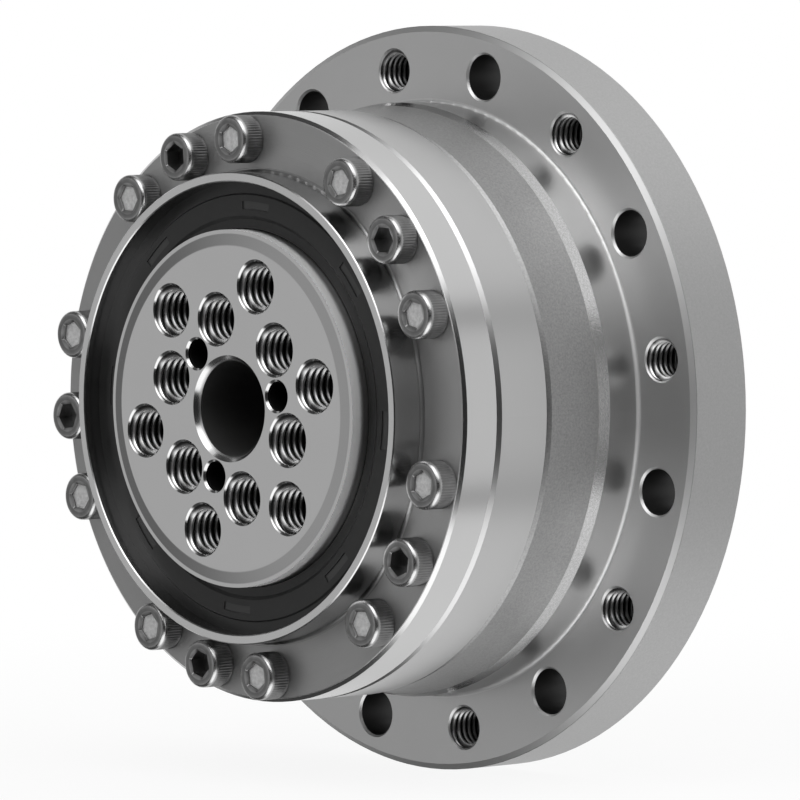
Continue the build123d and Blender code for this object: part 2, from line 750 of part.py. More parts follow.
def roller(lean):
    """One roller on the X axis, its own axis leaning inwards or outwards along the gear's axis."""
    body = Cylinder(roller_diameter / 2, roller_length)
    body = fillet(body.edges().filter_by(GeomType.CIRCLE), roller_end_fillet)
    return Pos(0, race_y, 0) * Rot(0, 0, lean) * Rot(0, 90, 0) * body


def crossed_rollers(lean, start):
    return around(roller(lean), roller_circle, evenly(roller_pairs, start))


def roller_spacers():
    spacer = Pos(0, race_y, 0) * Rot(0, 0, 45) * Box(spacer_side, spacer_side, spacer_thickness)
    return around(spacer, roller_circle, evenly(2 * roller_pairs, 90 / roller_pairs))


def at_ball_places(piece):
    """Copies of a piece that stands at the origin, one at each ball of the oval bearing."""
    places = [wave_place(ball_circle, angle) for angle in evenly(ball_count)]
    return [Rot(0, -angle, 0) * Pos(radius, wave_y, 0) * piece for radius, angle in places]


def race_groove(circle_radius):
    """Round-bottomed track along the oval."""
    start = Plane(origin=(circle_radius + wave_height, wave_y, 0), x_dir=(1, 0, 0), z_dir=(0, 0, 1))
    path = face_at(wave_y, wave_oval(circle_radius)).edge()
    return sweep(start * Circle(groove_section_radius), path=path)


def wave_bearing_outer_race():
    ring = oval_tube(outer_race_radius, outer_race_bore, bearing_front_y, bearing_rear_y)
    return ring - race_groove(outer_groove_radius - groove_section_radius)


def wave_bearing_inner_race():
    ring = oval_tube(inner_race_radius, inner_race_bore, bearing_front_y, bearing_rear_y)
    return ring - race_groove(inner_groove_radius + groove_section_radius)


def wave_bearing_balls():
    return at_ball_places(Sphere(ball_diameter / 2))


def wave_bearing_cage():
    band = oval_tube(ball_circle + cage_wall / 2, ball_circle - cage_wall / 2,
                     wave_y - cage_front_reach, wave_y + cage_rear_reach)
    pocket = Rot(0, 90, 0) * Cylinder(ball_diameter / 2 + cage_pocket_clearance, 2 * cage_wall)
    return band - at_ball_places(pocket)


def lug(inner_radius, outer_radius, first_y, last_y, width):
    """Square driving lug on the X axis, between two radii."""
    middle = (inner_radius + outer_radius) / 2
    return prism(Pos(middle, 0) * Rectangle(outer_radius - inner_radius, width), first_y, last_y)


def pair(piece, angle):
    """A piece and the one opposite it, the first turned to the angle."""
    return [Rot(0, -angle, 0) * piece, Rot(0, -angle - 180, 0) * piece]


def wave_generator_plug():
    plug = prism(wave_oval(inner_race_bore - ball_clearance), bearing_front_y, bearing_rear_y)
    plug -= plain_bore(plug_bore_radius, bearing_front_y - cutter_overrun, plug_floor_y + cutter_overrun)
    plug -= plain_bore(plug_recess_radius, plug_floor_y, bearing_rear_y + cutter_overrun)
    inner = plug_recess_radius - lug_reach
    outer = plug_recess_radius + cutter_overrun
    return plug + pair(lug(inner, outer, plug_floor_y, bearing_rear_y, lug_width), 90)


def oldham_insert():
    """Floating ring with two pairs of slots at right angles."""
    front_y = plug_floor_y + seat_gap
    rear_y = bearing_rear_y - coupling_gap
    inner = hub_head_radius + insert_inner_gap
    outer = plug_recess_radius - insert_inner_gap
    ring = turned((inner, front_y), (outer, front_y), (outer, rear_y), (inner, rear_y))
    slot_width = lug_width + 2 * coupling_gap
    plug_slot_floor = plug_recess_radius - lug_reach - coupling_gap
    hub_slot_floor = hub_head_radius + lug_reach + coupling_gap
    plug_slot = lug(plug_slot_floor, outer + cutter_overrun, front_y, rear_y, slot_width)
    hub_slot = lug(inner - cutter_overrun, hub_slot_floor, front_y, rear_y, slot_width)
    return ring - pair(plug_slot, 90) - pair(hub_slot, 0)


def set_screw_y():
    return hub_rear_y - set_screw_inset


def set_screw_holes():
    """Two threaded holes through the hub's head: one over the keyway, one beside it."""
    outwards = (Align.CENTER, Align.CENTER, Align.MIN)
    cutter = Rot(0, 90, 0) * Cylinder(set_screw_radius, hub_head_radius, align=outwards)
    return [Pos(0, set_screw_y(), 0) * Rot(0, -angle, 0) * cutter for angle in set_screw_angles]


def input_hub():
    head_y = plug_floor_y + seat_gap
    snap_y = snap_ring_front_y()
    bore_mouth = hub_bore_radius + hub_chamfer
    groove_radius = hub_radius - snap_ring_depth
    groove_rear_y = snap_y + snap_ring_thickness
    hub = turned((hub_bore_radius, hub_front_y + hub_chamfer), (bore_mouth, hub_front_y),
                 (hub_radius - hub_chamfer, hub_front_y), (hub_radius, hub_front_y + hub_chamfer),
                 (hub_radius, snap_y), (groove_radius, snap_y), (groove_radius, groove_rear_y),
                 (hub_radius, groove_rear_y), (hub_radius, head_y), (hub_head_radius, head_y),
                 (hub_head_radius, hub_rear_y - hub_chamfer),
                 (hub_head_radius - hub_chamfer, hub_rear_y), (bore_mouth, hub_rear_y),
                 (hub_bore_radius, hub_rear_y - hub_chamfer))
    lug_radius = hub_head_radius + lug_reach
    keyway_front_y = hub_front_y - cutter_overrun
    keyway_rear_y = hub_rear_y + cutter_overrun
    driving_lug = lug(hub_radius, lug_radius, head_y, bearing_rear_y - coupling_gap, lug_width)
    keyway = lug(0, hub_bore_radius + keyway_depth, keyway_front_y, keyway_rear_y, keyway_width)
    hub += pair(driving_lug, 0)
    return hub - Rot(0, -90, 0) * keyway - set_screw_holes()


def hub_set_screws():
    radius = set_screw_radius - screw_thread_clearance
    outer_end = hub_head_radius - seat_gap
    inwards = (Align.CENTER, Align.CENTER, Align.MAX)
    blank = Cylinder(radius, set_screw_length, align=inwards)
    hexagon = RegularPolygon(set_screw_socket / 2, 6, major_radius=False)
    socket = extrude(hexagon, -set_screw_socket_depth)
    grub = Pos(outer_end, 0, 0) * Rot(0, 90, 0) * (blank - socket)
    return [Pos(0, set_screw_y(), 0) * Rot(0, -angle, 0) * grub for angle in set_screw_angles]


def rub_washer():
    rear_y = bearing_front_y - seat_gap
    front_y = rear_y - washer_thickness
    return turned((plug_bore_radius, rear_y), (washer_radius, rear_y), (washer_radius, front_y),
                  (plug_bore_radius, front_y))


def snap_ring_front_y():
    return bearing_front_y - washer_thickness - snap_ring_thickness - 2 * seat_gap


def hub_snap_ring():
    """Open spring ring in the hub's groove, with its gap towards +Z."""
    inner = hub_radius - snap_ring_depth + seat_gap
    outer = inner + snap_ring_depth + snap_ring_height
    front_y = snap_ring_front_y() + seat_gap / 2
    rear_y = front_y + snap_ring_thickness - seat_gap
    corners = [(inner, front_y), (outer, front_y), (outer, rear_y), (inner, rear_y)]
    profile = make_face(Polyline(*corners, close=True))
    ring = revolve(profile, Axis.Y, 360 - snap_ring_opening)
    return Rot(0, -90 + snap_ring_opening / 2, 0) * ring


def write(name, pieces):
    """One node: a solid, or a group of separate solids."""
    solids = []
    for piece in pieces if isinstance(pieces, list) else [pieces]:
        solids += piece.solids()
    shape = Compound(solids) if len(solids) > 1 else solids[0]
    export_step(shape, os.path.join("parts", name + ".step"))


os.makedirs("parts", exist_ok=True)
write("bearing_outer_ring_front", bearing_outer_ring_front())
write("bearing_outer_ring_rear", bearing_outer_ring_rear())
write("housing", housing())
write("housing_oring", housing_oring())
write("flange_oring", flange_oring())
write("ring_screws", ring_screws())
write("housing_screws", housing_screws())
write("output_oil_seal", output_oil_seal())
write("seal_case", seal_case())
write("seal_garter_spring", seal_garter_spring())
write("circular_spline", circular_spline())
write("circular_spline_screws", circular_spline_screws())
write("circular_spline_pins", circular_spline_pins())
write("output_flange", output_flange())
write("bore_seal_cap", bore_seal_cap())
write("flexspline", flexspline())
write("boss_clamp_ring", boss_clamp_ring())
write("boss_screws", boss_screws())
write("boss_dowel_pins", boss_dowel_pins())
write("crossed_rollers_a", crossed_rollers(45, 0))
write("crossed_rollers_b", crossed_rollers(-45, 180 / roller_pairs))
write("roller_spacers", roller_spacers())
write("wave_bearing_outer_race", wave_bearing_outer_race())
write("wave_bearing_inner_race", wave_bearing_inner_race())
write("wave_bearing_balls", wave_bearing_balls())
write("wave_bearing_cage", wave_bearing_cage())
write("wave_generator_plug", wave_generator_plug())
write("oldham_insert", oldham_insert())
write("input_hub", input_hub())
write("hub_set_screws", hub_set_screws())
write("rub_washer", rub_washer())
write("hub_snap_ring", hub_snap_ring())
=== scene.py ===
import json
from math import atan2, ceil, cos, pi, radians, sin

import bmesh
import bpy
from mathutils import Matrix, Vector


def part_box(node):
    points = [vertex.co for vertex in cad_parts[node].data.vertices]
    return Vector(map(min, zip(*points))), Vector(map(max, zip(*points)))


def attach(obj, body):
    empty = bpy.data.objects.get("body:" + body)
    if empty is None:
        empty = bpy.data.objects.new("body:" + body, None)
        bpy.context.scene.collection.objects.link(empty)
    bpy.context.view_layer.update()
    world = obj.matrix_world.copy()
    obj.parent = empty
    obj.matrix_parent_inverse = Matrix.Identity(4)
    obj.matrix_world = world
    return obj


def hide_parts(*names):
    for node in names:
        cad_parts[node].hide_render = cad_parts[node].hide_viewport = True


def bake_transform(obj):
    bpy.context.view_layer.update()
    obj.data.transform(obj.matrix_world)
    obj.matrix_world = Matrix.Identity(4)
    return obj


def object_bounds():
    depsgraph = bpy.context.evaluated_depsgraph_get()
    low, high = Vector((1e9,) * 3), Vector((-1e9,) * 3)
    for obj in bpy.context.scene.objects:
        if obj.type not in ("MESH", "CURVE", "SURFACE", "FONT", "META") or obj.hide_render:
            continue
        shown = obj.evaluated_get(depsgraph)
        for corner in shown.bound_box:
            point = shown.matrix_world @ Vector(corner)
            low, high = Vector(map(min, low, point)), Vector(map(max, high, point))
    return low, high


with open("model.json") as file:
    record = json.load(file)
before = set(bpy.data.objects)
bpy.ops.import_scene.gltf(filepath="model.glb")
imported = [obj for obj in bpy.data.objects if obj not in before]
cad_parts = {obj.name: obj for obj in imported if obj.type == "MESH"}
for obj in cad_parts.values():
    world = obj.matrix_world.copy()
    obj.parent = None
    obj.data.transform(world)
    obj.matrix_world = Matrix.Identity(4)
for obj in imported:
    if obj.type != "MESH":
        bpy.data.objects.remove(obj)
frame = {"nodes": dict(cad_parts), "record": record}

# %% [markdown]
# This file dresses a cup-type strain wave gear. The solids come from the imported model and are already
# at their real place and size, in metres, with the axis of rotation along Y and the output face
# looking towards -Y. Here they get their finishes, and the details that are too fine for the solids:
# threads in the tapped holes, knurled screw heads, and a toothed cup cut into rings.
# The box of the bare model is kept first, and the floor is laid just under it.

mm = 0.001
cad_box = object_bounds()
nodes = frame["nodes"]
print("bare model", [round(high - low, 4) for low, high in zip(*cad_box)])

# %% [markdown]
# The camera stands where the photograph was taken from: well round towards +X, a little above the
# axis, and far away with a long lens, so that the circles are hardly distorted. It is placed by an
# aim point, a distance and two angles, which is easier to read than a bare location and rotation.
# Three axes of the camera, written as the columns of a matrix, give its rotation without any guess
# about which angle is turned first.

# %% Camera
view_azimuth = radians(46.78)
view_elevation = radians(3.21)
camera_distance = 0.9
camera_aim = Vector((-0.0049, -0.0092, -0.0004))
lens_mm = 333.56

camera_back = Vector((sin(view_azimuth) * cos(view_elevation),
                      -cos(view_azimuth) * cos(view_elevation), sin(view_elevation)))
camera_right = Vector((cos(view_azimuth), sin(view_azimuth), 0))
camera_up = camera_back.cross(camera_right)
camera = bpy.data.objects.new("camera", bpy.data.cameras.new("camera"))
camera.data.lens = lens_mm
camera.location = camera_aim + camera_back * camera_distance
camera.rotation_euler = Matrix((camera_right, camera_up, camera_back)).transposed().to_euler()
bpy.context.scene.collection.objects.link(camera)
bpy.context.scene.camera = camera
print("camera at", [round(value, 4) for value in camera.location])

# %% [markdown]
# A finish is a network of nodes, and most of it is arithmetic. Written with node calls, arithmetic
# is hard to read, so a small class wraps a socket and lets +, -, * and / add the Math nodes. The
# reflected forms make 1 - mask work as well. Its make method adds any other node: settings such as a
# node's mode are set first, because they can change which sockets it has, and then the inputs, each
# a plain value or another wrapped socket.


# %% Shader arithmetic
class Signal:
    """A socket that can be used in a sum. Without a socket it only knows its node tree."""

    def __init__(self, tree, socket=None):
        self.tree = tree
        self.socket = socket

    def make(self, kind, settings=None, inputs=None, output=0):
        node = self.tree.nodes.new(kind)
        for name, value in (settings or {}).items():
            setattr(node, name, value)
        for name, value in (inputs or {}).items():
            if isinstance(value, Signal):
                self.tree.links.new(value.socket, node.inputs[name])
            else:
                node.inputs[name].default_value = value
        return Signal(self.tree, node.outputs[output])

    def math(self, operation, *values):
        inputs = dict(enumerate(values))
        return self.make("ShaderNodeMath", {"operation": operation}, inputs)

    def __add__(self, other):
        return self.math("ADD", self, other)

    def __radd__(self, other):
        return self.math("ADD", other, self)

    def __sub__(self, other):
        return self.math("SUBTRACT", self, other)

    def __rsub__(self, other):
        return self.math("SUBTRACT", other, self)

    def __mul__(self, other):
        return self.math("MULTIPLY", self, other)

    def __rmul__(self, other):
        return self.math("MULTIPLY", other, self)

    def __truediv__(self, other):
        return self.math("DIVIDE", self, other)

    def step(self, low, high):
        """Rises smoothly from 0 to 1 as the value goes from low to high."""
        inputs = {"Value": self, "From Min": low, "From Max": high}
        return self.make("ShaderNodeMapRange", {"interpolation_type": "SMOOTHSTEP"}, inputs)

    def band(self, low, high, soft):
        """1 between low and high, and 0 outside them."""
        return self.step(low - soft, low) * (1 - self.step(high, high + soft))


def grey(value):
    """A neutral colour of one linear value."""
    return (value, value, value, 1.0)


print("shader arithmetic ready")

# %% [markdown]
# Metal looks like what stands round it, so the light matters as much as the finish. The world is a
# studio, written as a formula of direction. In front of the part it has a soft patch on the left for
# the output face, a dark flag near the camera, bright sheets high and low on the right and dark cloth
# high and low on the left. Behind the part stand a bright wall, the backdrop and more sheets. The
# dark stretches give chamfers and grooves their dark lines. Each patch has an axis and a border, and
# the border is the pair of cosines between which the patch fades in. Where the camera itself looks
# past the part, Light Path's camera ray output makes the whole world plain white.

# %% Studio
floor_drop = 0.0002
floor_radius = 1.5
floor_corners = 96
floor_grey = 0.80
shadow_share = 0.9
shadow_fade = (0.06, 0.22)
flag_axis = radians(38)
flag_value = 0.03
wall_value = 0.80
open_value = 0.24
lamp_value = 0.64
lamp_azimuth = radians(-39)
front_sheet_value = 1.8
upper_rear_value = 0.92
lower_rear_value = 0.94
backdrop_value = 0.80
cloth_value = 0.07
lamp_border = (0.90, 0.975)
wall_border = (0.87, 0.95)
flag_border = (0.70, 0.84)
backdrop_border = (0.55, 0.85)
cloth_border = (-0.14, 0.04)
rear_border = (0.10, 0.40)
sheet_border = (0.40, 0.52)


def heading(angle, elevation=0.0):
    """Unit vector at an angle round the part: 0 looks along -Y, and 90 degrees along +X."""
    flat = cos(elevation)
    return (sin(angle) * flat, -cos(angle) * flat, sin(elevation))


def studio_world():
    """The white studio that the metal reflects."""
    world = bpy.data.worlds.new("white_studio")
    world.use_nodes = True
    tree = world.node_tree
    tree.nodes.clear()
    start = Signal(tree)
    towards = start.make("ShaderNodeTexCoord", output="Generated")
    split = [start.make("ShaderNodeSeparateXYZ", None, {0: towards}, output=k) for k in range(3)]

    def facing(direction):
        """Cosine of the angle between the ray and a direction."""
        return split[0] * direction[0] + split[1] * direction[1] + split[2] * direction[2]

    def blend(low, high, share):
        """Goes from one value to another as the share goes from 0 to 1."""
        return low + (high - low) * share

    lamp = facing(heading(lamp_azimuth, -view_elevation)).step(*lamp_border)
    wall = facing(heading(pi - view_azimuth)).step(*wall_border)
    flag = facing(heading(flag_axis)).step(*flag_border)
    backdrop = facing(heading(pi + view_azimuth)).step(*backdrop_border)
    front_sheet = blend(cloth_value, front_sheet_value, split[0].step(*cloth_border))
    behind = split[1].step(*rear_border)
    above = blend(front_sheet, upper_rear_value, behind)
    below = blend(front_sheet, lower_rear_value, behind)
    light = blend(open_value, lamp_value, lamp)
    light = blend(light, wall_value, wall)
    light = blend(light, flag_value, flag)
    light = blend(light, above, split[2].step(*sheet_border))
    light = blend(light, below, (0 - split[2]).step(*sheet_border))
    light = blend(light, backdrop_value, backdrop)
    camera_ray = start.make("ShaderNodeLightPath", output="Is Camera Ray")
    strength = blend(light, 1.0, camera_ray)
    shade = start.make("ShaderNodeBackground", None, {"Color": grey(1.0), "Strength": strength})
    end = tree.nodes.new("ShaderNodeOutputWorld")
    tree.links.new(shade.socket, end.inputs["Surface"])
    return world


def studio_floor():
    """A round white floor. It takes the part's soft shadow, and the metal doesn't mirror it."""
    mesh = bpy.data.meshes.new("floor")
    turns = [2 * pi * k / floor_corners for k in range(floor_corners)]
    rim = [(floor_radius * cos(turn), floor_radius * sin(turn), 0) for turn in turns]
    mesh.from_pydata(rim, [], [range(floor_corners)])
    floor = bpy.data.objects.new("floor", mesh)
    floor.location.z = cad_box[0].z - floor_drop
    floor.visible_glossy = False
    material = bpy.data.materials.new("white_floor")
    material.use_nodes = True
    tree = material.node_tree
    tree.nodes.clear()
    start = Signal(tree)
    matt = start.make("ShaderNodeBsdfDiffuse", None, {"Color": grey(floor_grey)})
    glow = start.make("ShaderNodeEmission", None, {"Color": grey(1.0), "Strength": 1.0})
    camera_ray = start.make("ShaderNodeLightPath", output="Is Camera Ray")
    place = start.make("ShaderNodeTexCoord", output="Object")
    distance = start.make("ShaderNodeVectorMath", {"operation": "LENGTH"}, {0: place}, "Value")
    clear = shadow_share + (1 - shadow_share) * distance.step(*shadow_fade)
    shade = start.make("ShaderNodeMixShader", None, {0: camera_ray * clear, 1: matt, 2: glow})
    end = tree.nodes.new("ShaderNodeOutputMaterial")
    tree.links.new(shade.socket, end.inputs["Surface"])
    mesh.materials.append(material)
    bpy.context.scene.collection.objects.link(floor)


def soft_lamp(name, angle, elevation, distance, size, watts):
    """A large area lamp that looks at the part."""
    light = bpy.data.lights.new(name, "AREA")
    light.size = size
    light.energy = watts
    lamp = bpy.data.objects.new(name, light)
    lamp.location = Vector(heading(angle, elevation)) * distance
    lamp.rotation_euler = (-lamp.location).to_track_quat("-Z", "Y").to_euler()
    bpy.context.scene.collection.objects.link(lamp)


bpy.context.scene.world = studio_world()
bpy.context.scene.view_settings.view_transform = "Standard"
studio_floor()
soft_lamp("key_lamp", angle=radians(10), elevation=radians(58), distance=0.9, size=0.7, watts=1.5)
print("studio ready")

# %% [markdown]
# Every finish below starts from the same facts about a point of the part: its three coordinates and
# how far it is from the axis, all in millimetres. The Object output of Texture Coordinate gives the
# point in the part's own frame, so the pattern stays on the metal when a body turns. A lathe leaves
# rings on a face and rings round a cylinder. The sum of radius and height changes along both, so one
# noise of that sum makes both kinds of rings. A narrow fillet has few facets in the solid, and their
# reflections look like a rope, so the fillet's true normal is worked out from its arc instead.

# %% Shared parts of a finish
turning_lines_per_mm = 7.0
fillet_border = 0.08


class Finish:
    """A Principled material in the making, with the places that its formulas use."""

    def __init__(self, name):
        self.material = bpy.data.materials.new(name)
        self.material.use_nodes = True
        self.tree = self.material.node_tree
        self.shader = self.tree.nodes["Principled BSDF"]
        self.start = Signal(self.tree)
        self.point = self.start.make("ShaderNodeTexCoord", output="Object")
        parts = [self.start.make("ShaderNodeSeparateXYZ", None, {0: self.point}, k) for k in range(3)]
        self.x, self.y, self.z = [part / mm for part in parts]
        self.radius = self.start.math("SQRT", self.x * self.x + self.z * self.z)

    def grain(self, size_mm, detail=2.0, roughness=0.5):
        """Cloudy noise with features of about this size."""
        inputs = {"Vector": self.point, "Scale": 1 / (size_mm * mm), "Detail": detail,
                  "Roughness": roughness}
        return self.start.make("ShaderNodeTexNoise", None, inputs)

    def turning(self, lines_per_mm=turning_lines_per_mm):
        """Rings that a lathe leaves on faces and round cylinders."""
        inputs = {"W": (self.radius + self.y) * lines_per_mm, "Scale": 1.0, "Detail": 3.0}
        return self.start.make("ShaderNodeTexNoise", {"noise_dimensions": "1D"}, inputs)

    def bump(self, height, depth_mm, strength=1.0, normal=None):
        """Small relief, laid over the mesh's own normal or over a given one."""
        inputs = {"Strength": strength, "Distance": depth_mm * mm, "Height": height}
        if normal:
            inputs["Normal"] = normal
        self.feed("Normal", self.start.make("ShaderNodeBump", None, inputs))

    def fillet(self, first_radius, last_y, size):
        """The hollow fillet between a cylinder and a face: where it is, and its exact normal there.

        The arc's centre is one fillet radius outside the cylinder and one in front of the face, and
        the normal of a hollow points to that centre.
        """
        centre_radius = first_radius + size
        centre_y = last_y - size
        zone = self.radius.band(first_radius, centre_radius, fillet_border)
        zone = zone * self.y.band(centre_y, last_y, fillet_border)
        out = (centre_radius - self.radius) / self.radius
        parts = {0: self.x * out, 1: centre_y - self.y, 2: self.z * out}
        towards = self.start.make("ShaderNodeCombineXYZ", None, parts)
        settings = {"vector_type": "NORMAL", "convert_from": "OBJECT", "convert_to": "WORLD"}
        exact = self.start.make("ShaderNodeVectorTransform", settings, {0: towards})
        plain = self.start.make("ShaderNodeNewGeometry", output="Normal")
        inputs = {0: zone, 4: plain, 5: exact}
        mixed = self.start.make("ShaderNodeMix", {"data_type": "VECTOR"}, inputs, 1)
        return zone, self.start.make("ShaderNodeVectorMath", {"operation": "NORMALIZE"}, {0: mixed})

    def feed(self, name, value):
        """Sets a socket of the shader to a value, or links a signal to it."""
        if isinstance(value, Signal):
            self.tree.links.new(value.socket, self.shader.inputs[name])
        else:
            self.shader.inputs[name].default_value = value


print("finish helpers ready")

# %% [markdown]
# The output flange and the two bearing rings are one kind of metal: hardened steel, ground and left
# bright. Ground steel is almost smooth, so its roughness is low and only wavers along the turning
# lines. Inside the holes the steel is darkened with painted shade. No other surface that shows
# lies behind the flange's face within the hole circles, so that place can be told by depth and radius.
# The bevel round the flange's face carries painted shade as well. The side of the flange's neck,
# which the seal surrounds, is duller and catches light from all round, and a painted highlight makes
# it paler near its top edge. The hollow fillet at the foot of the front ring's collar has painted shade.

# %% Ground steel
head_height = 3.0
collar_radius = 27.9
foot_fillet = 0.4
face_border = 0.05
hole_mouth_depth = 0.3
hole_dark_depth = 0.4
hole_zone_radius = 18.9
hole_zone_border = 0.1
bore_zone = (6.0, 6.6)
bevel_depths = (0.03, 0.27)
neck_top_depths = (0.295, 0.31)
neck_fade_depths = (1.3, 2.3)
neck_radii = (20.9, 21.0)


def metal(finish, base, roughness, metallic=1.0):
    """Feeds the three values that every metal needs."""
    finish.feed("Base Color", base)
    finish.feed("Roughness", roughness)
    finish.feed("Metallic", metallic)


def ring_finish(name, base, roughness):
    """Turned steel, ground on its rim. The front ring's face under the screw heads is left as turned."""
    finish = Finish(name)
    seat_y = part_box("ring_screws")[0].y / mm + head_height
    seat_start = collar_radius + foot_fillet
    level = finish.y.band(seat_y - face_border, seat_y + face_border, face_border)
    seat = level * finish.radius.step(seat_start - face_border, seat_start + face_border)
    foot, foot_normal = finish.fillet(collar_radius, seat_y, foot_fillet)
    lines = finish.turning()
    stain = finish.grain(9.0)
    base = (base + 0.02 * lines + 0.02 * stain) * (1 - 0.18 * seat)
    # Painted shade darkens the hollow fillet at the collar's foot.
    metal(finish, base * (1 - 0.3 * foot), roughness + 0.04 * lines + 0.33 * seat + 0.15 * foot)
    finish.bump(lines * seat, 0.02, normal=foot_normal)
    return finish.material


def output_flange_finish():
    """Bright steel, with painted shade in the holes and on the bevel, and a dull neck side with a
    painted highlight.
    """
    finish = Finish("output_flange_steel")
    face_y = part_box("output_flange")[0].y / mm
    depth = finish.y - face_y
    beyond_holes = finish.radius.step(hole_zone_radius, hole_zone_radius + hole_zone_border)
    # Painted shade darkens the steel inside the holes, a little less in the centre bore.
    inside_shade = depth.step(hole_mouth_depth, hole_mouth_depth + hole_dark_depth) * (1 - beyond_holes)
    lines = finish.turning()
    stain = finish.grain(8.0)
    # Painted shade on the bevel round the face.
    bevel = depth.band(*bevel_depths, 0.02) * beyond_holes
    shade = 0.5 + 0.38 * finish.radius.step(*bore_zone)
    # Painted highlight: the neck's side is paler near its top edge, and less so further in.
    neck_side_highlight = depth.step(*neck_top_depths) * (1 - 0.7 * depth.step(*neck_fade_depths))
    neck_side_highlight = neck_side_highlight * finish.radius.step(*neck_radii)
    base = (0.53 + 0.02 * lines + 0.02 * stain) * (1 - 0.24 * bevel) + 0.42 * neck_side_highlight
    roughness = 0.15 + 0.04 * lines + 0.3 * inside_shade + 0.6 * neck_side_highlight
    metal(finish, base * (1 - shade * inside_shade), roughness)
    return finish.material


ground_steel = ring_finish("ground_steel", 0.56, 0.17)
rear_ring_steel = ring_finish("rear_ring_steel", 0.50, 0.28)
output_flange_steel = output_flange_finish()
print("ground steel for", ground_steel.name, rear_ring_steel.name, output_flange_steel.name)

# %% [markdown]
# The housing is one piece of steel with three finishes. Its body is blasted, which leaves a fine,
# even grain and a dark satin look. The register and the flange's face are turned bright afterwards,
# and the flange's rim is finely grained. Masks made from height and radius choose between them, so
# one material does it all and the borders lie exactly on the edges of the solid.

# %% Housing steel
bevel_length = 1.5
grain_border = 0.1
rim_depths = (0.12, 0.06)
hole_wall_margins = (0.9, 1.5)
hole_wall_border = 0.1
flange_hole_depths = (0.35, -0.4)
face_start_margins = (0.3, 0.5)
blast_grain_size = 0.26


def mount(name):
    """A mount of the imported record: its y in millimetres and its sizes."""
    found = next(m for m in frame["record"]["mounts"] if m["name"] == name)
    return found["pos_m"][1] / mm, found["dims"]


def housing_finish():
    """Blasted body, turned register and face, finely grained rim, painted shade in the holes and a
    painted highlight at the foot.
    """
    finish = Finish("housing_steel")
    face_y = mount("flange_front_face")[0]
    middle_y, register_dims = mount("housing_register")
    register_y = middle_y - register_dims["length_mm"] / 2
    register_radius = register_dims["r_mm"]
    rim_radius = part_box("housing")[1].x / mm
    blasted = 1 - (finish.y - register_y).step(-grain_border, 0.0)
    bevel = finish.y.band(register_y - bevel_length, register_y - grain_border, grain_border)
    rim = finish.radius.step(rim_radius - rim_depths[0], rim_radius - rim_depths[1])
    inner_margin, outer_margin = hole_wall_margins
    between = finish.radius.band(register_radius + inner_margin, rim_radius - outer_margin,
                                 hole_wall_border)
    front_depth, rear_y = flange_hole_depths
    # Painted shade: the walls of the flange's tapped holes are darkened.
    wall = finish.y.band(face_y + front_depth, rear_y, hole_wall_border) * between
    grain = finish.grain(blast_grain_size, 4.0, 0.7)
    cloud = finish.grain(7.0)
    lines = finish.turning()
    foot, foot_normal = finish.fillet(register_radius, face_y, foot_fillet)
    face_start, face_full = [register_radius + margin for margin in face_start_margins]
    face = finish.radius.step(face_start, face_full)
    turned_base = (0.50 + 0.12 * face + 0.02 * lines + 0.03 * cloud) * (1 - 0.86 * wall)
    # Painted highlight: the register's foot fillet is made paler.
    turned_base = turned_base + 0.20 * foot
    blasted_base = 0.19 + 0.28 * grain + 0.04 * cloud + 0.14 * bevel
    base = turned_base + (blasted_base - turned_base) * blasted
    base = base + (0.39 + 0.17 * grain - base) * rim
    turned_roughness = 0.34 + 0.10 * face + 0.06 * lines + 0.15 * foot
    roughness = turned_roughness + (0.44 - 0.26 * bevel - turned_roughness) * blasted + 0.04 * rim
    metal(finish, base, roughness)
    depth = (blasted + 0.5 * rim) * grain + 0.1 * lines * (1 - blasted)
    finish.bump(depth, 0.02, 0.8, foot_normal)
    return finish.material


housing_steel = housing_finish()
print("housing steel:", len(housing_steel.node_tree.nodes), "nodes")

# %% [markdown]
# The seals are black nitrile rubber. Moulded rubber is never quite even: a faint mottle in its
# roughness and a very shallow grain break up the reflection. The radial seal has eight moulded
# recesses in its front, and their floor is a little paler than the polished land around them.

# %% Rubber
mark_depths = (0.08, 0.30)
mark_radii = (23.3, 24.65)


def rubber_finish(name, base, roughness, marked=False):
    """Black rubber. A marked one has paler floors in its moulded recesses."""
    finish = Finish(name)
    mottle = finish.grain(1.8)
    grain = finish.grain(0.12)
    base = base + 0.01 * mottle
    if marked:
        front_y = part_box("output_oil_seal")[0].y / mm
        floor = finish.y.band(front_y + mark_depths[0], front_y + mark_depths[1], 0.03)
        base = base + 0.022 * floor * finish.radius.band(*mark_radii, 0.05)
    finish.feed("Base Color", base)
    finish.feed("Roughness", roughness + 0.14 * mottle)
    finish.feed("Specular IOR Level", 0.3)
    finish.bump(grain, 0.006, 0.5)
    return finish.material


seal_rubber = rubber_finish("seal_rubber", 0.013, 0.26, marked=True)
oring_rubber = rubber_finish("oring_rubber", 0.010, 0.34)
cap_rubber = rubber_finish("cap_rubber", 0.008, 0.40)
print("rubber for seal, O-rings and bore cap")

# %% [markdown]
# The other pieces are hidden in the first view, but many are in plain sight from the input side. Gear
# steel is machined and slightly darker, pins and the parts of the bearings are polished, springs and
# set screws are darker steel, cage and spacers are pale nylon, and the coupling's insert and the rub
# washer are a dark composite. The cap screws get a finish of their own further down.

# %% Finishes of the inner pieces
def machined_steel(name, base, roughness):
    """Steel with coarse tool marks that show in its colour, its gloss and its relief."""
    finish = Finish(name)
    lines = finish.turning(4.0)
    cloud = finish.grain(5.0)
    metal(finish, base + 0.06 * lines + 0.04 * cloud, roughness + 0.10 * lines)
    finish.bump(lines, 0.006)
    return finish.material


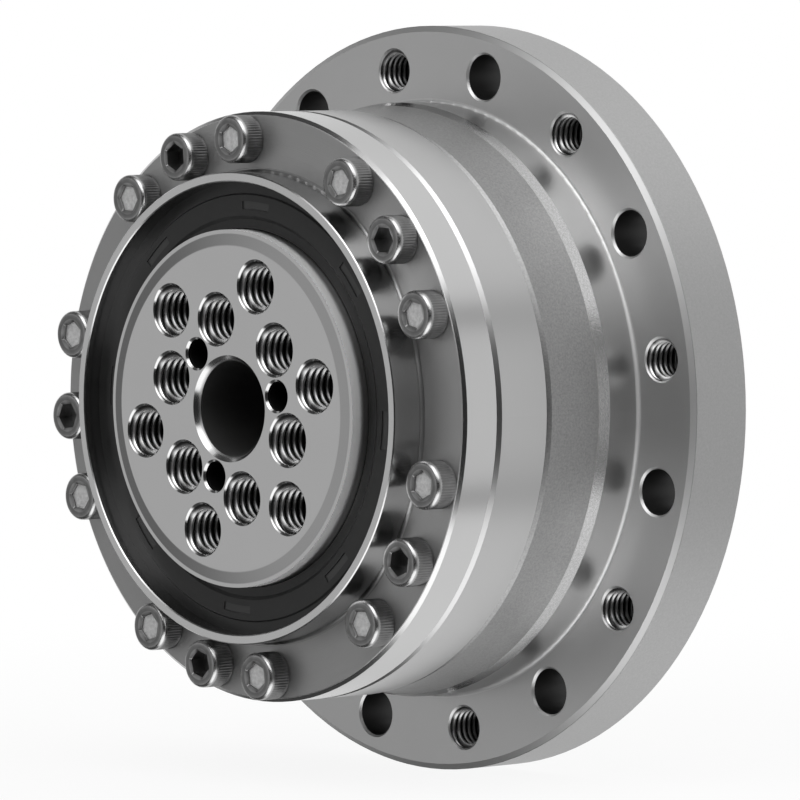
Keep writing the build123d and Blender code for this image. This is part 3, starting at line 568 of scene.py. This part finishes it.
def polished_steel(name, base):
    """Hard polished steel with a faint haze."""
    finish = Finish(name)
    haze = finish.grain(2.5)
    metal(finish, base + 0.04 * haze, 0.08 + 0.08 * haze)
    return finish.material


def plastic(name, base, speck):
    """Moulded plastic whose filler shows as fine specks."""
    finish = Finish(name)
    fibre = finish.grain(0.35, 3.0)
    cloud = finish.grain(3.0)
    finish.feed("Base Color", base + speck * fibre + 0.04 * cloud)
    finish.feed("Roughness", 0.48 + 0.14 * fibre)
    finish.bump(fibre, 0.008)
    return finish.material


gear_steel = machined_steel("gear_steel", 0.42, 0.24)
plug_steel = machined_steel("plug_steel", 0.36, 0.30)
bearing_steel = polished_steel("bearing_steel", 0.60)
spring_steel = machined_steel("spring_steel", 0.26, 0.30)
pale_nylon = plastic("pale_nylon", 0.46, 0.10)
dark_composite = plastic("dark_composite", 0.05, 0.05)

node_finishes = (
    (housing_steel, ("housing",)),
    (output_flange_steel, ("output_flange",)),
    (ground_steel, ("bearing_outer_ring_front",)),
    (rear_ring_steel, ("bearing_outer_ring_rear",)),
    (seal_rubber, ("output_oil_seal",)),
    (cap_rubber, ("bore_seal_cap",)),
    (oring_rubber, ("housing_oring", "flange_oring")),
    (plug_steel, ("wave_generator_plug",)),
    (gear_steel, ("circular_spline", "flexspline", "boss_clamp_ring", "seal_case", "input_hub")),
    (bearing_steel, ("circular_spline_pins", "boss_dowel_pins", "crossed_rollers_a",
                     "crossed_rollers_b", "wave_bearing_inner_race", "wave_bearing_outer_race",
                     "wave_bearing_balls")),
    (spring_steel, ("hub_snap_ring", "seal_garter_spring", "hub_set_screws", "ring_screws",
                    "housing_screws", "circular_spline_screws", "boss_screws")),
    (pale_nylon, ("wave_bearing_cage", "roller_spacers")),
    (dark_composite, ("oldham_insert", "rub_washer")),
)
for finish, members in node_finishes:
    for name in members:
        nodes[name].data.materials.clear()
        nodes[name].data.materials.append(finish)
print("finished nodes", sum(len(members) for _, members in node_finishes), "of", len(nodes))

# %% [markdown]
# Fine pieces are made as meshes from rings of points. Each ring has the same number of points, so
# neighbouring rings are joined by quads without any search. A second helper turns points and faces
# into a piece. It marks edges sharper than an angle, so that curved walls shade smoothly while steps
# stay crisp.


# %% Meshes from rings
def quads_between(rings):
    """Faces that join each ring of points to the next."""
    count = len(rings[0])
    faces = []
    for ring in range(len(rings) - 1):
        following = ring + 1
        for k in range(count):
            after = (k + 1) % count
            faces.append((ring * count + k, following * count + k,
                          following * count + after, ring * count + after))
    return faces


def new_piece(name, body, finish, points, faces, sharp=radians(32)):
    """A mesh object that rides on a body, from points in millimetres."""
    mesh = bpy.data.meshes.new(name)
    mesh.from_pydata([(x * mm, y * mm, z * mm) for x, y, z in points], [], faces)
    mesh.update()
    mesh.materials.append(finish)
    mesh.shade_smooth()
    mesh.set_sharp_from_angle(angle=sharp)
    piece = bpy.data.objects.new(name, mesh)
    bpy.context.scene.collection.objects.link(piece)
    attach(piece, body)
    return piece


def point_attribute(piece, name, values):
    """Stores a number at each point, which a finish can read."""
    attribute = piece.data.attributes.new(name, "FLOAT", "POINT")
    attribute.data.foreach_set("value", values)


def on_circle(radius, angle):
    """Where a circle about the axis stands at an angle: x and z in millimetres."""
    return radius * cos(radians(angle)), radius * sin(radians(angle))


print("mesh helpers ready")

# %% [markdown]
# A tapped hole is known by its thread. The solid is drilled to the thread's outer diameter, and here
# a ridge with 60 degree flanks winds along its wall. A helix is worked out by a loop: every step
# turns a little and goes in by the same share of the pitch. The angle falls as the depth grows,
# which makes the thread right-handed when seen from the mouth. Where the tap enters and leaves, the
# ridge fades out over a quarter turn, as it does under the countersink of the real hole.

# %% Tapped holes
thread_steps = 44
thread_start_angle = radians(270)
ridge_root = 0.02
ridge_height_share = 0.5413
crest_width_share = 1 / 8
root_width_share = 0.46
least_ridge = 0.02
ridge_width_lead = 0.3


def thread_ridge(centre, major_radius, pitch, first_y, last_y):
    """Points and faces of one ridge, in millimetres, on the wall of a hole along Y."""
    height = ridge_height_share * pitch
    turns = (last_y - first_y) / pitch
    count = ceil(turns * thread_steps)
    half_crest = pitch * crest_width_share
    half_root = pitch * root_width_share
    rings = []
    for k in range(count + 1):
        turn = k / thread_steps
        fade = max(least_ridge, min(1, 4 * turn, 4 * (turns - turn)))
        width = min(1, fade + ridge_width_lead)
        crest = major_radius - height * fade
        root = major_radius + ridge_root
        y = first_y + turn * pitch
        angle = thread_start_angle - 2 * pi * turn
        flanks = ((root, -half_root), (crest, -half_crest), (crest, half_crest), (root, half_root))
        rings.append([(centre[0] + r * cos(angle), y + dy * width, centre[1] + r * sin(angle))
                      for r, dy in flanks])
    faces = quads_between(rings)
    last = 4 * count
    faces += [(0, 1, 2, 3), (last + 3, last + 2, last + 1, last)]
    return [point for ring in rings for point in ring], faces


def threads(name, body, finish, centres, major_radius, pitch, first_y, last_y):
    """One piece with the ridges of several holes."""
    points, faces = [], []
    for centre in centres:
        ridge, ridge_faces = thread_ridge(centre, major_radius, pitch, first_y, last_y)
        faces += [tuple(len(points) + k for k in face) for face in ridge_faces]
        points += ridge
    piece = new_piece(name, body, finish, points, faces)
    point_attribute(piece, "crest", [0.0, 1.0, 1.0, 0.0] * (len(points) // 4))
    print(name, len(centres), "holes,", len(points), "points")


def hole_centres(name, clocking):
    """Hole centres of a bolt circle, from its mount and the angle of its first hole."""
    dims = mount(name)[1]
    count = dims["count"]
    return [on_circle(dims["pcd_mm"] / 2, clocking + 360 / count * k) for k in range(count)]


def thread_finish(name, mouth_y, depth, base, shade):
    """Painted highlight on the crests, painted shade between them and more painted shade further in."""
    finish = Finish(name)
    deep_shade = (finish.y - mouth_y).step(0.3, depth)
    crest = finish.start.make("ShaderNodeAttribute", {"attribute_name": "crest"}, output="Fac")
    crest = crest.step(0.25, 0.95)
    scuff = finish.grain(0.5)
    # Painted light: crests paler, roots darker, and painted shade deeper in the hole.
    base = (0.10 + base * crest + 0.08 * scuff) * (1 - shade * deep_shade)
    metal(finish, base, 0.16 + 0.12 * crest + 0.06 * scuff)
    return finish.material


output_clocking = 12.2
flange_clocking = 8.83
m6_pitch = 1.0
m5_pitch = 0.8
thread_start = 0.30
output_thread_length = 7.6

output_y, output_dims = mount("output_bolts_outer")
flange_y, flange_dims = mount("flange_tapped_holes")
output_thread_steel = thread_finish("output_thread_steel", output_y, depth=7.5, base=0.80, shade=0.6)
flange_thread_steel = thread_finish("flange_thread_steel", flange_y, depth=4.2, base=0.74, shade=0.93)
output_start = output_y + thread_start
for circle, clocking in (("output_bolts_outer", output_clocking),
                         ("output_bolts_inner", output_clocking + 180 / output_dims["count"])):
    threads(circle.replace("bolts", "threads"), "output", output_thread_steel,
            hole_centres(circle, clocking), output_dims["hole_r_mm"], m6_pitch,
            output_start, output_start + output_thread_length)
threads("flange_threads", "casing", flange_thread_steel,
        hole_centres("flange_tapped_holes", flange_clocking), flange_dims["hole_r_mm"], m5_pitch,
        flange_y + thread_start, -thread_start)

# %% [markdown]
# A socket head screw has a knurled side, a rounded upper edge, a flat top and a hexagonal socket with
# a small countersink. Each of these is a ring of points whose radius may change with the angle: the
# knurl adds fine ribs, and the socket's radius is that of a hexagon. One function makes every screw,
# with its seat at height 0 and its head upwards, and then it is laid where the solid's screw is.
# The middle screw of each group has an open socket. The sockets beside it are filled with pale
# sealing compound, so their floor lies just below the top and is a material of its own.

# %% Screw finishes
def screw_finish():
    """Dark oxide that is worn bright on the rounded edge and the crests of the knurl."""
    finish = Finish("oxide_steel")
    worn = finish.start.make("ShaderNodeAttribute", {"attribute_name": "worn"}, output="Fac")
    cloud = finish.grain(1.2)
    scuff = finish.grain(0.25, 3.0)
    wear = (worn * (0.7 + 0.6 * cloud)).step(0.15, 0.95)
    metal(finish, 0.14 + 0.10 * cloud + 0.36 * wear, 0.32 - 0.10 * wear + 0.12 * scuff)
    finish.bump(scuff, 0.006)
    return finish.material


def compound_finish():
    """Pale sealing compound, smeared level in the socket."""
    finish = Finish("sealing_compound")
    smear = finish.grain(0.5, 3.0, 0.6)
    finish.feed("Base Color", 0.32 + 0.66 * smear)
    finish.feed("Roughness", 0.42 + 0.16 * smear)
    finish.feed("Metallic", 0.55)
    finish.bump(smear, 0.03)
    return finish.material


oxide_steel = screw_finish()
sealing_compound = compound_finish()
print("screw finishes:", oxide_steel.name, sealing_compound.name)

# %% Screw shape
screw_points = 270
knurl_ribs = 54
knurl_depth = 0.09
knurl_heights = (0.30, 0.55, 1.5, 2.2)
full_knurl = (0.5, 2.0)
knurl_end_share = 0.25
head_radius = 2.84
head_foot_bevel = 0.12
head_edge_radius = 0.5
head_edge_steps = 6
socket_width = 2.85
socket_mouth_radius = 1.86
socket_bevel = 0.16
shank_radius = 1.48
tip_chamfer = 0.3


def hexagon_radius(width, angle):
    """Distance from the centre to a hexagon's side, at an angle in degrees."""
    return width / 2 / cos(radians((angle + 30) % 60 - 30))


def screw_rings(length, socket_depth):
    """Rings from the tip of the screw up its outside and down into its socket: radius, height, wear."""
    rings = [(shank_radius - tip_chamfer, -length, 0), (shank_radius, tip_chamfer - length, 0),
             (shank_radius, 0, 0), (head_radius - head_foot_bevel, 0, 0),
             (head_radius, head_foot_bevel, 0.3)]
    rings += [("knurl", height, 0.3) for height in knurl_heights]
    rings += [(head_radius, head_height - head_edge_radius - 0.05, 0.6)]
    for k in range(1, head_edge_steps + 1):
        turn = radians(90 / head_edge_steps * k)
        radius = head_radius - head_edge_radius * (1 - cos(turn))
        height = head_height - head_edge_radius * (1 - sin(turn))
        rings.append((radius, height, 0.35 + 0.65 * sin(2 * turn)))
    rings += [(socket_mouth_radius + 0.1, head_height, 0.15), (socket_mouth_radius, head_height, 0.5),
              ("hexagon", head_height - socket_bevel, 0.6), ("hexagon", head_height - socket_depth, 0)]
    return rings


def ring_radius(kind, angle, height):
    """Radius of one ring of the screw at an angle."""
    if kind == "hexagon":
        return hexagon_radius(socket_width, angle)
    if kind == "knurl":
        share = 1 if full_knurl[0] < height < full_knurl[1] else knurl_end_share
        return head_radius - knurl_depth * share * (0.5 - 0.5 * cos(radians(knurl_ribs * angle)))
    return kind


def screw_group(name, node, body, seat_y, length, socket_depth, towards, clocking, floor_finish):
    """All the screws of a node, each laid over its solid.

    towards is 1 for heads that look along -Y and -1 for heads that look along +Y. The clocking turns
    each screw further than the one before, so that no two sockets stand alike.
    """
    points, faces, wear, floors = [], [], [], []
    rings = screw_rings(length, socket_depth)
    angles = [360 * k / screw_points for k in range(screw_points)]
    for index, (x, z) in enumerate(solid_centres(node)):
        first = len(points)
        for kind, height, worn in rings:
            for angle in angles:
                radius = ring_radius(kind, angle, height)
                rib = 1.0 if kind != "knurl" else 0.5 + 0.5 * cos(radians(knurl_ribs * angle))
                turned = radians(angle + clocking * (index + 1))
                points.append((x + radius * cos(turned) * towards, seat_y - towards * height,
                               z + radius * sin(turned)))
                wear.append(worn * rib)
        body_faces = quads_between([angles] * len(rings))
        faces += [tuple(first + k for k in reversed(face)) for face in body_faces]
        last = first + screw_points * (len(rings) - 1)
        floors.append(len(faces))
        faces.append(tuple(last + k for k in range(screw_points)))
        faces.append(tuple(first + screw_points - 1 - k for k in range(screw_points)))
    piece = new_piece(name, body, oxide_steel, points, faces)
    point_attribute(piece, "worn", wear)
    piece.data.materials.append(floor_finish)
    for face in floors:
        piece.data.polygons[face].material_index = 1
    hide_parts(node)
    print(name, len(floors), "screws,", len(points), "points")


def solid_centres(node):
    """Centre of each solid of a node, across the axis and in millimetres, found by its linked edges."""
    mesh = nodes[node].data
    parent = list(range(len(mesh.vertices)))

    def root(k):
        while parent[k] != k:
            parent[k] = parent[parent[k]]
            k = parent[k]
        return k

    places = {}
    for vertex in mesh.vertices:
        key = tuple(round(value / mm, 3) for value in vertex.co)
        parent[vertex.index] = places.setdefault(key, vertex.index)
    for edge in mesh.edges:
        parent[root(edge.vertices[0])] = root(edge.vertices[1])
    groups = {}
    for vertex in mesh.vertices:
        groups.setdefault(root(vertex.index), []).append(vertex.co)
    centres = []
    for corners in groups.values():
        xs = [corner.x / mm for corner in corners]
        zs = [corner.z / mm for corner in corners]
        centres.append(((min(xs) + max(xs)) / 2, (min(zs) + max(zs)) / 2))
    return sorted(centres, key=lambda centre: atan2(centre[1], centre[0]))


# %% Screws
front_seat_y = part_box("ring_screws")[0].y / mm + head_height
rear_seat_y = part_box("circular_spline_screws")[1].y / mm - head_height
boss_seat_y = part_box("boss_screws")[1].y / mm - head_height
open_socket_depth = 2.0
filled_socket_depth = 0.45
standard_socket_depth = 1.6
ring_screw_length = 10.0
housing_screw_length = 20.0
inner_screw_length = 8.0
screw_group("ring_screws_knurled", "ring_screws", "casing", front_seat_y, ring_screw_length,
            open_socket_depth, towards=1, clocking=37, floor_finish=oxide_steel)
screw_group("housing_screws_knurled", "housing_screws", "casing", front_seat_y, housing_screw_length,
            filled_socket_depth, towards=1, clocking=23, floor_finish=sealing_compound)
screw_group("circular_spline_screws_knurled", "circular_spline_screws", "casing", rear_seat_y,
            inner_screw_length, standard_socket_depth, towards=-1, clocking=29, floor_finish=oxide_steel)
screw_group("boss_screws_knurled", "boss_screws", "output", boss_seat_y, inner_screw_length,
            standard_socket_depth, towards=-1, clocking=41, floor_finish=oxide_steel)

# %% [markdown]
# The flexspline is a thin steel cup. Its boss turns with the output, and its toothed rim is pushed
# into an oval by the wave generator, so the oval travels round much faster than the boss turns. A
# rigid solid can't show that. The piece below is the same cup, cut by many planes across the axis, so
# that its wall is made of narrow rings. It stays where the solid cup was, and nothing here turns its
# rings.

# %% Flexspline cut into rings
corner_depth = 2.7
rim_length = 10.8
wall_rings = 28


def flexspline_that_bends():
    """The cup's own mesh, cut into rings along its wall, which stands in place of the solid cup."""
    low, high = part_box("flexspline")
    wall_start = low.y + corner_depth * mm
    wall_end = high.y - rim_length * mm
    mesh = nodes["flexspline"].data.copy()
    mesh.name = "flexspline_bending"
    cup = bmesh.new()
    cup.from_mesh(mesh)
    for k in range(1, wall_rings):
        height = wall_start + (wall_end - wall_start) * k / wall_rings
        everything = cup.verts[:] + cup.edges[:] + cup.faces[:]
        bmesh.ops.bisect_plane(cup, geom=everything, plane_co=(0, height, 0), plane_no=(0, 1, 0))
    cup.to_mesh(mesh)
    cup.free()
    mesh.shade_smooth()
    mesh.set_sharp_from_angle(angle=radians(25))
    piece = bpy.data.objects.new("flexspline_bending", mesh)
    bpy.context.scene.collection.objects.link(piece)
    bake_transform(piece)
    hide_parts("flexspline")
    return len(mesh.vertices)


print("flexspline with", flexspline_that_bends(), "points")
